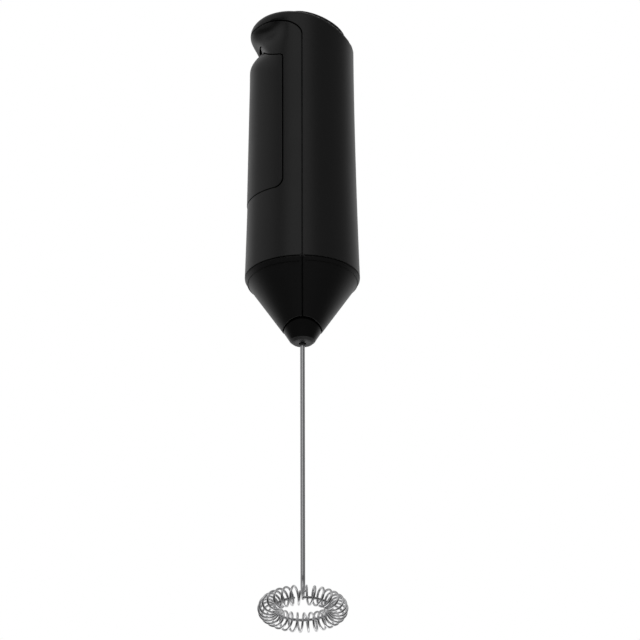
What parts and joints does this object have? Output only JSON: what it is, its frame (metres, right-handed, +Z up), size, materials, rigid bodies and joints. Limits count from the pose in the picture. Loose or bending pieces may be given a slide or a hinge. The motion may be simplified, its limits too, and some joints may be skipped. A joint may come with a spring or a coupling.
{
  "type": "milk frother",
  "caption": "Battery hand frother: tapered round handle with sloped top button, rear cover, cone nose, long steel rod and ring-shaped coil whisk.",
  "frame": {"origin": "on the whisk's spin axis, at the widest section of the handle where the grip meets the nose cone", "axes": "+Z up the handle along the whisk's spin axis (the whisk hangs below), -X to the side with the battery cover and finger scoop"},
  "size_m": [0.038, 0.038, 0.2164],
  "materials": {
    "black_shell": "satin",
    "black_cover": "satin",
    "black_button": "matt soft touch",
    "black_collar": "semi-gloss",
    "stainless_rod": "polished",
    "stainless_wire": "bright",
    "zinc_plate": "plated",
    "laminated_iron": "bare",
    "copper_wire": "enamelled copper",
    "sintered_bronze": "plain",
    "ferrite": "matt",
    "carbon": "matt",
    "grey_nylon": "moulded",
    "black_tray": "moulded",
    "cell_jacket": "printed sleeve, plain",
    "red_insulation": "satin",
    "black_insulation": "satin"
  },
  "bodies": {
    "housing": {"rear_shell": "black_shell", "front_shell": "black_shell", "nose_collar": "black_collar", "motor_case": "zinc_plate", "motor_end_cap": "grey_nylon", "motor_terminal_a": "sintered_bronze", "motor_terminal_b": "sintered_bronze", "magnet_a": "ferrite", "magnet_b": "ferrite", "motor_front_bush": "sintered_bronze", "motor_rear_bush": "sintered_bronze", "brush_a": "carbon", "brush_b": "carbon", "battery_tray": "black_tray", "battery_cell_a": "cell_jacket", "battery_cell_b": "cell_jacket", "series_contact": "zinc_plate", "series_spring": "zinc_plate", "negative_contact": "zinc_plate", "negative_spring": "zinc_plate", "positive_contact": "zinc_plate", "lead_red": "red_insulation", "lead_black": "black_insulation"},
    "rotor": {"motor_shaft": "stainless_rod", "armature_core": "laminated_iron", "winding_1": "copper_wire", "winding_2": "copper_wire", "winding_3": "copper_wire", "commutator": "copper_wire", "shaft_coupling": "grey_nylon", "whisk_rod": "stainless_rod", "whisk_coil": "stainless_wire"},
    "button": {"power_button": "black_button"},
    "leaf": {"switch_leaf": "zinc_plate"},
    "cover": {"battery_cover": "black_cover"}
  },
  "joints": [
    {"name": "whisk_spin", "type": "hinge", "parent": "housing", "child": "rotor", "pos_m": [0, 0, 0], "axis": [0, 0, -1], "continuous": true},
    {"name": "button_press", "type": "slide", "parent": "housing", "child": "button", "axis": [-0.3746, 0, -0.9272], "range_m": [0, 0.0012], "stiffness_N_per_m": 600, "springref_m": -0.0015},
    {"name": "leaf_flex", "type": "hinge", "parent": "housing", "child": "leaf", "pos_m": [0.0094, 0, 0.0778], "axis": [0, -1, 0], "range_deg": [0, 8]},
    {"name": "cover_hinge", "type": "hinge", "parent": "housing", "child": "cover", "pos_m": [-0.0178, 0, 0.0257], "axis": [0, -1, 0], "range_deg": [0, 35]}
  ],
  "couplings": [
    {"joint": "leaf_flex", "follows": "button_press", "rad_per_m": 105}
  ]
}
